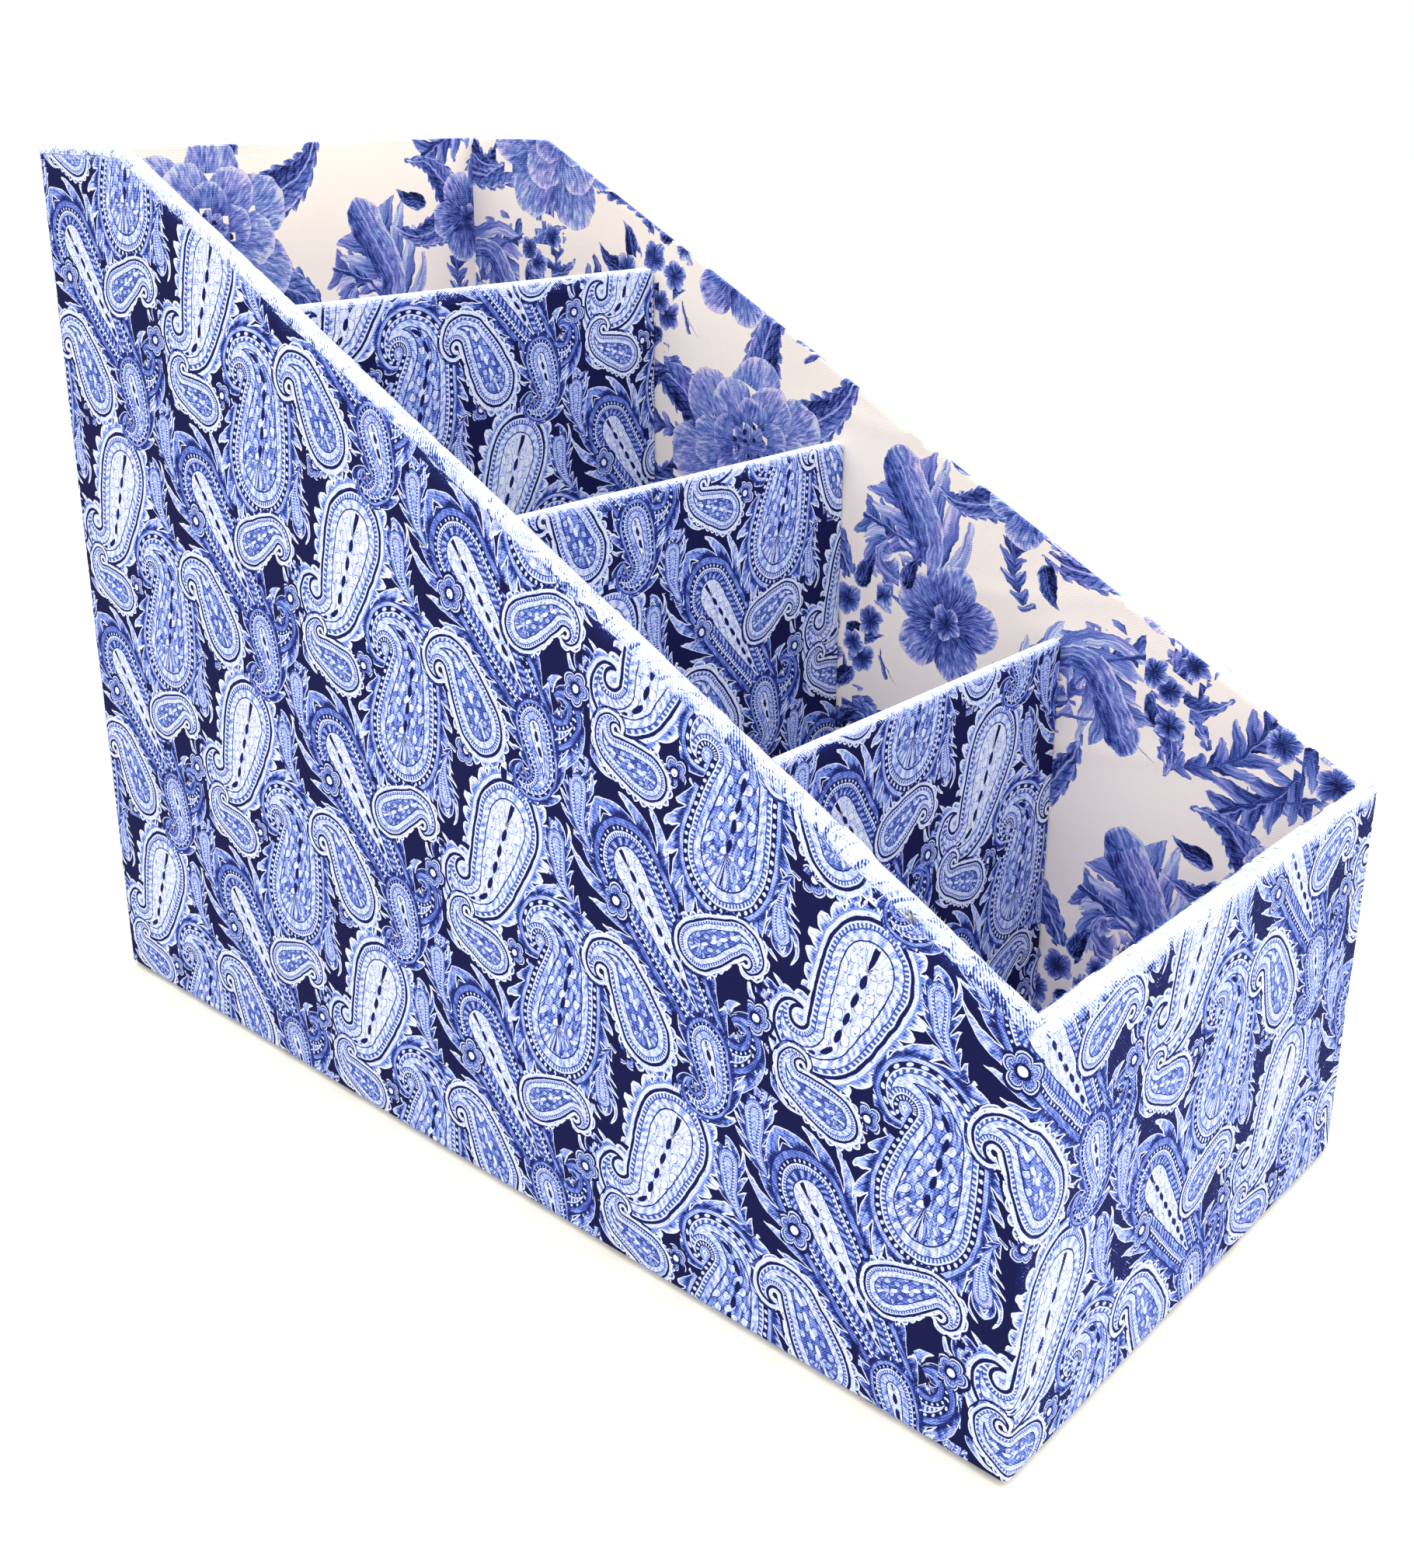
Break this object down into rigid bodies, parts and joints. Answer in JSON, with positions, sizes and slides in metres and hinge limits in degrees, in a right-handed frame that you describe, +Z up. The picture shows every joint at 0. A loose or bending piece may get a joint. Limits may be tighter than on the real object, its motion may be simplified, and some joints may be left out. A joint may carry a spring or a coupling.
{
  "type": "desk organizer box",
  "caption": "Open cloth-covered board box with a tall back, sloping sides, a low front and fixed dividers that step down.",
  "frame": {"origin": "middle of the underside, where the box stands on the desk", "axes": "+Z up, -Y towards the low front, +Y towards the tall back, +X to the right seen from the front"},
  "size_m": [0.15, 0.312, 0.24],
  "materials": {
    "paisley_cloth": "printed cotton, blue paisley on navy, plain weave",
    "floral_cloth": "printed cotton, blue flowers on off-white, plain weave",
    "base_cloth": "plain navy cotton, plain weave",
    "grey_board": "grey board, matt",
    "lining_card": "thin card, matt",
    "gummed_paper": "brown gummed paper, matt"
  },
  "bodies": {
    "root": {"base_board": "grey_board", "left_side_board": "grey_board", "right_side_board": "grey_board", "front_board": "grey_board", "back_board": "grey_board", "rear_divider_board": "grey_board", "middle_divider_board": "grey_board", "front_divider_board": "grey_board", "left_lining_card": "lining_card", "right_lining_card": "lining_card", "front_lining_card": "lining_card", "back_lining_card": "lining_card", "base_cover_card": "lining_card", "floor_card_1": "lining_card", "floor_card_2": "lining_card", "floor_card_3": "lining_card", "floor_card_4": "lining_card", "left_lining_cloth": "floral_cloth", "right_lining_cloth": "floral_cloth", "front_lining_cloth": "floral_cloth", "back_lining_cloth": "floral_cloth", "floor_cloth_1": "floral_cloth", "floor_cloth_2": "floral_cloth", "floor_cloth_3": "floral_cloth", "floor_cloth_4": "floral_cloth", "outer_wrap": "paisley_cloth", "left_rim_strip": "paisley_cloth", "right_rim_strip": "paisley_cloth", "rear_divider_wrap": "paisley_cloth", "middle_divider_wrap": "paisley_cloth", "front_divider_wrap": "paisley_cloth", "corner_tape": "gummed_paper", "base_tape": "gummed_paper", "base_cover_cloth": "base_cloth"}
  },
  "joints": []
}
